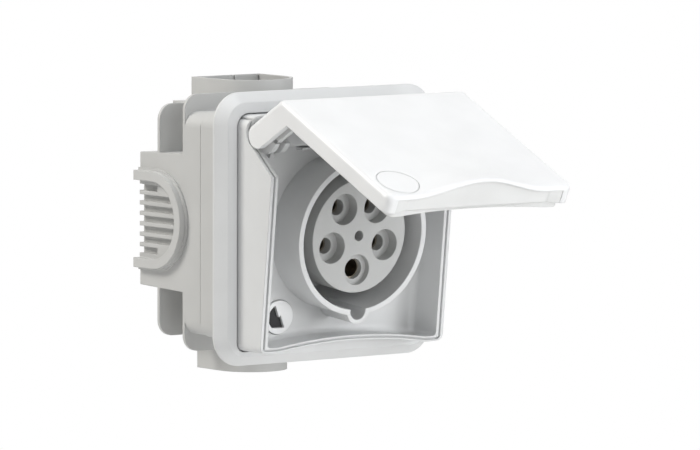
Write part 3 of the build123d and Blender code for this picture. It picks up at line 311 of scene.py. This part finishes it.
# Web that takes the liner's end wall on up to the swollen lip
WEB_STEPS = 48
WEB_SHARE = 0.94
WEB_LEAST = 0.01
rings = []
for step in range(WEB_STEPS + 1):
    across = BULGE_WIDTH * WEB_SHARE * (step / WEB_STEPS - 0.5)
    inside, outside = (
        LINER_TOP + max(lip_rise(along, across) - WEB_GAP, WEB_LEAST)
        for along in (LINER_END - LINER_WALL, LINER_END)
    )
    rings.append([
        lid_point(LINER_END - LINER_WALL, across, LINER_TOP),
        lid_point(LINER_END, across, LINER_TOP),
        lid_point(LINER_END, across, outside),
        lid_point(LINER_END - LINER_WALL, across, inside),
    ])
new_piece("liner_end_web", lofted(rings), LOOKS["liner_plastic"], "lid")

# One smooth plate over the liner's end wall and the web, out to the window's corners
PLATE_FRONT = 67.44
PLATE_OUTER_FRONT = 68.8
PLATE_THIN = 0.09
PLATE_THICK = 0.9
PLATE_LOW = 0.05
PLATE_STEPS = 24
PLATE_STRAIGHT = 33.5
PLATE_TURN = 35.0
PLATE_TURNED = 38.0
PLATE_SIDE = 40.22
half_stations = [PLATE_STRAIGHT * step / PLATE_STEPS for step in range(PLATE_STEPS + 1)]
half_stations += [PLATE_TURN, PLATE_TURNED, PLATE_SIDE]
rings = []
for across in [-station for station in reversed(half_stations[1:])] + half_stations:
    turned = min(1.0, max(0.0, (abs(across) - PLATE_TURN) / (PLATE_TURNED - PLATE_TURN)))
    front = PLATE_FRONT + turned * (PLATE_OUTER_FRONT - PLATE_FRONT)
    behind = front - PLATE_THIN - turned * (PLATE_THICK - PLATE_THIN)
    rise = lip_rise(PLATE_FRONT, across) if abs(across) < BULGE_WIDTH / 2 else 0.0
    high = LINER_TOP + rise - WEB_GAP
    rings.append([
        lid_point(behind, across, PLATE_LOW),
        lid_point(front, across, PLATE_LOW),
        lid_point(front, across, high),
        lid_point(behind, across, high),
    ])
new_piece("liner_end_plate", lofted(rings), LOOKS["liner_plastic"], "lid")

# A post at each corner of the liner's end
POST_INSIDE = 41.25
POST_OUTSIDE = 42.55
POST_START = 58.0
POST_END = 66.5
POST_ROUNDING = 0.2 * MM
for side, sign in (("left", -1), ("right", 1)):
    shape = bmesh.new()
    foot = shape.faces.new([
        shape.verts.new(lid_point(along, sign * across, 0.0))
        for along, across in ((POST_START, POST_INSIDE), (POST_START, POST_OUTSIDE),
                              (POST_END, POST_OUTSIDE), (POST_END, POST_INSIDE))
    ])
    push_out(shape, [foot], LID_OUT * (LINER_TOP - WEB_GAP) * MM)
    bmesh.ops.bevel(
        shape, geom=shape.edges[:], offset=POST_ROUNDING, segments=2, affect="EDGES", profile=0.5
    )
    new_piece(f"liner_end_post_{side}", shape, LOOKS["liner_plastic"], "lid")

# Floor that keeps the shadow and fades into the white surroundings
FLOOR_SIZE = 6.0
FLOOR_HEIGHT = -0.17
FLOOR_COLOUR = (0.93, 0.93, 0.93, 1.0)
FLOOR_GLOW = 0.75
FADE_FROM = 0.15
FADE_TO = 0.65
half = FLOOR_SIZE / 2
floor_mesh = bpy.data.meshes.new("floor")
floor_mesh.from_pydata(
    [(-half, -half, FLOOR_HEIGHT), (half, -half, FLOOR_HEIGHT),
     (half, half, FLOOR_HEIGHT), (-half, half, FLOOR_HEIGHT)], [], [(0, 1, 2, 3)]
)
floor = bpy.data.objects.new("floor", floor_mesh)
bpy.context.scene.collection.objects.link(floor)
pale = bpy.data.materials.new("pale_floor")
tree, output = empty_tree(pale, "ShaderNodeOutputMaterial")
diffuse = add_node(tree, "ShaderNodeBsdfDiffuse")
diffuse.inputs["Color"].default_value = FLOOR_COLOUR
glow = add_node(tree, "ShaderNodeEmission")
place = add_node(tree, "ShaderNodeTexCoord").outputs["Object"]
distance = add_node(tree, "ShaderNodeVectorMath", operation="LENGTH")
fade = add_node(tree, "ShaderNodeMapRange", interpolation_type="SMOOTHSTEP")
fade.inputs["From Min"].default_value = FADE_FROM
fade.inputs["From Max"].default_value = FADE_TO
fade.inputs["To Min"].default_value = FLOOR_GLOW
fade.inputs["To Max"].default_value = 1.0
path = add_node(tree, "ShaderNodeLightPath")
seen = add_node(tree, "ShaderNodeMath", operation="MULTIPLY")
tree.links.new(place, distance.inputs[0])
tree.links.new(distance.outputs["Value"], fade.inputs["Value"])
tree.links.new(path.outputs["Is Camera Ray"], seen.inputs[0])
tree.links.new(fade.outputs["Result"], seen.inputs[1])
show_mix(tree, output, seen.outputs[0], diffuse.outputs[0], glow.outputs[0])
floor_mesh.materials.append(pale)

# White surroundings for the camera and for reflections, a plain level for the light
SKY_LEVEL = 0.04
SKY_COLOUR = (0.93, 0.96, 1.0, 1.0)
WHITE = (1.0, 1.0, 1.0, 1.0)
world = bpy.data.worlds.new("surroundings")
bpy.context.scene.world = world
tree, output = empty_tree(world, "ShaderNodeOutputWorld")
sky = add_node(tree, "ShaderNodeBackground")
sky.inputs["Color"].default_value = SKY_COLOUR
sky.inputs["Strength"].default_value = SKY_LEVEL
white = add_node(tree, "ShaderNodeBackground")
white.inputs["Color"].default_value = WHITE
white.inputs["Strength"].default_value = 1.0
path = add_node(tree, "ShaderNodeLightPath")
either = add_node(tree, "ShaderNodeMath", operation="MAXIMUM")
also = add_node(tree, "ShaderNodeMath", operation="MAXIMUM")
tree.links.new(path.outputs["Is Camera Ray"], either.inputs[0])
tree.links.new(path.outputs["Is Glossy Ray"], either.inputs[1])
tree.links.new(either.outputs[0], also.inputs[0])
tree.links.new(path.outputs["Is Transmission Ray"], also.inputs[1])
show_mix(tree, output, also.outputs[0], sky.outputs[0], white.outputs[0])


def lamp(name, place, size, watts, colour):
    """A square area lamp that looks at the part."""
    data = bpy.data.lights.new(name, "AREA")
    data.shape = "SQUARE"
    data.size = size
    data.energy = watts
    data.color = colour
    piece = bpy.data.objects.new(name, data)
    piece.location = place
    piece.rotation_euler = (-Vector(place)).to_track_quat("-Z", "Y").to_euler()
    bpy.context.scene.collection.objects.link(piece)


# Lamps, their levels fitted to the photograph's shading
COOL = (0.97, 0.985, 1.0)
WARM = (1.0, 0.975, 0.925)
NEUTRAL = (1.0, 1.0, 1.0)
TOP_WATTS = 5.4
BACK_LEFT_WATTS = 11.6
FRONT_RIGHT_WATTS = 4.8
LOW_FRONT_WATTS = 5.8
FRONT_WATTS = 3.5
lamp("top_lamp", (-0.1, -0.25, 0.95), 0.7, TOP_WATTS, COOL)
lamp("back_left_lamp", (-0.9, 0.5, 0.8), 0.5, BACK_LEFT_WATTS, WARM)
lamp("front_right_lamp", (0.7, -1.0, 0.4), 0.6, FRONT_RIGHT_WATTS, COOL)
lamp("low_front_lamp", (0.5, -1.1, -0.14), 0.5, LOW_FRONT_WATTS, NEUTRAL)
lamp("front_lamp", (-0.25, -1.15, 0.25), 0.6, FRONT_WATTS, NEUTRAL)

# Camera fitted to the photograph
AZIMUTH = math.radians(-37.345)
ELEVATION = math.radians(5.043)
ROLL = math.radians(0.168)
AIM = Vector((0.013643, 0.0, -0.001194))
DISTANCE = 2.85042
LENS = 370.7
back = Vector((
    math.sin(AZIMUTH) * math.cos(ELEVATION),
    -math.cos(AZIMUTH) * math.cos(ELEVATION),
    math.sin(ELEVATION),
))
right = Vector((math.cos(AZIMUTH), math.sin(AZIMUTH), 0.0))
up = back.cross(right)
turned_right = math.cos(ROLL) * right + math.sin(ROLL) * up
turned_up = math.cos(ROLL) * up - math.sin(ROLL) * right
camera_data = bpy.data.cameras.new("camera")
camera_data.lens = LENS
camera_data.sensor_width = 36.0
camera_data.sensor_fit = "HORIZONTAL"
camera_data.clip_end = 20.0
camera = bpy.data.objects.new("camera", camera_data)
camera.matrix_world = Matrix.Translation(AIM + back * DISTANCE) @ Matrix(
    (turned_right, turned_up, back)
).transposed().to_4x4()
bpy.context.scene.collection.objects.link(camera)
bpy.context.scene.camera = camera
bpy.context.scene.view_settings.view_transform = "Standard"
